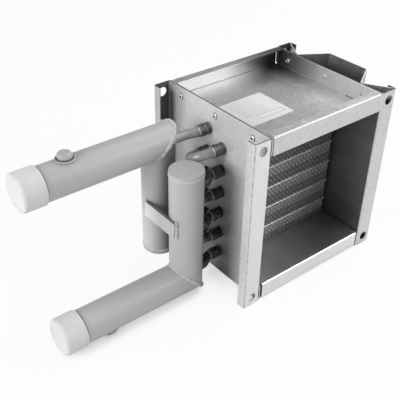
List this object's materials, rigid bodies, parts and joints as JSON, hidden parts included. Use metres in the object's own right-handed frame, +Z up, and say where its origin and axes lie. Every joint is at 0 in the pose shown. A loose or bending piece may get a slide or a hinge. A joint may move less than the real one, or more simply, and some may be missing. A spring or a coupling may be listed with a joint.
{
  "type": "duct water heating coil",
  "caption": "Water heating coil for a square air duct: flanged sheet casing, finned tubes, two steel headers with level pipe ends and plastic thread caps.",
  "frame": {"origin": "centre of the front duct flange, in the plane of its face", "axes": "+X to the right seen from the front, away from the headers; +Y along the air path from front to back flange; +Z up"},
  "size_m": [0.3835, 0.15, 0.19],
  "materials": {
    "galvanised_steel": "spangled zinc, satin",
    "zinc_rivet": "satin",
    "label": "matt",
    "fin_aluminium": "mill",
    "copper_tube": "dull copper, oversprayed grey",
    "cap_plastic": "translucent white",
    "seal_fibre": "matt",
    "plug_steel": "zinc plated",
    "painted_pipe": "grey paint, satin"
  },
  "bodies": {
    "coil": {"bottom_tray": "galvanised_steel", "cross_bend_1": "copper_tube", "cross_bend_2": "copper_tube", "cross_bend_3": "copper_tube", "drain_boss": "painted_pipe", "fin_pack": "fin_aluminium", "front_hairpin_1": "copper_tube", "front_hairpin_2": "copper_tube", "front_hairpin_3": "copper_tube", "front_header": "painted_pipe", "front_header_disc": "painted_pipe", "front_stub_1": "copper_tube", "front_stub_2": "copper_tube", "front_stub_3": "copper_tube", "header_strap": "painted_pipe", "left_panel_rivets": "zinc_rivet", "left_side_panel": "galvanised_steel", "lower_pipe": "painted_pipe", "rating_label": "label", "rear_hairpin_1": "copper_tube", "rear_hairpin_2": "copper_tube", "rear_hairpin_3": "copper_tube", "rear_header": "painted_pipe", "rear_header_disc": "painted_pipe", "rear_stub_1": "copper_tube", "rear_stub_2": "copper_tube", "rear_stub_3": "copper_tube", "return_bend_cover": "galvanised_steel", "right_panel_rivets": "zinc_rivet", "right_side_panel": "galvanised_steel", "top_tray": "galvanised_steel", "upper_pipe": "painted_pipe", "vent_boss": "painted_pipe"},
    "upper_cap": {"upper_thread_cap": "cap_plastic"},
    "lower_cap": {"lower_thread_cap": "cap_plastic"},
    "vent_ring": {"vent_seal": "seal_fibre"},
    "vent_screw": {"vent_plug": "plug_steel"},
    "drain_ring": {"drain_seal": "seal_fibre"},
    "drain_screw": {"drain_plug": "plug_steel"}
  },
  "joints": [
    {"name": "upper_cap_pull", "type": "slide", "parent": "coil", "child": "upper_cap", "axis": [-1, 0, 0], "range_m": [0, 0.03]},
    {"name": "lower_cap_pull", "type": "slide", "parent": "coil", "child": "lower_cap", "axis": [-1, 0, 0], "range_m": [0, 0.03]},
    {"name": "vent_lift", "type": "slide", "parent": "coil", "child": "vent_ring", "axis": [0, 0, 1], "range_m": [0, 0.00726]},
    {"name": "vent_turn", "type": "hinge", "parent": "vent_ring", "child": "vent_screw", "pos_m": [-0.226, 0.097, 0], "axis": [0, 0, 1], "range_deg": [0, 2880]},
    {"name": "drain_drop", "type": "slide", "parent": "coil", "child": "drain_ring", "axis": [0, 0, -1], "range_m": [0, 0.00726]},
    {"name": "drain_turn", "type": "hinge", "parent": "drain_ring", "child": "drain_screw", "pos_m": [-0.218, 0.056, 0], "axis": [0, 0, -1], "range_deg": [0, 2880]}
  ],
  "couplings": [
    {"joint": "vent_lift", "follows": "vent_turn", "m_per_rad": 0.00014435},
    {"joint": "drain_turn", "follows": "drain_drop", "rad_per_m": 6927.4}
  ]
}
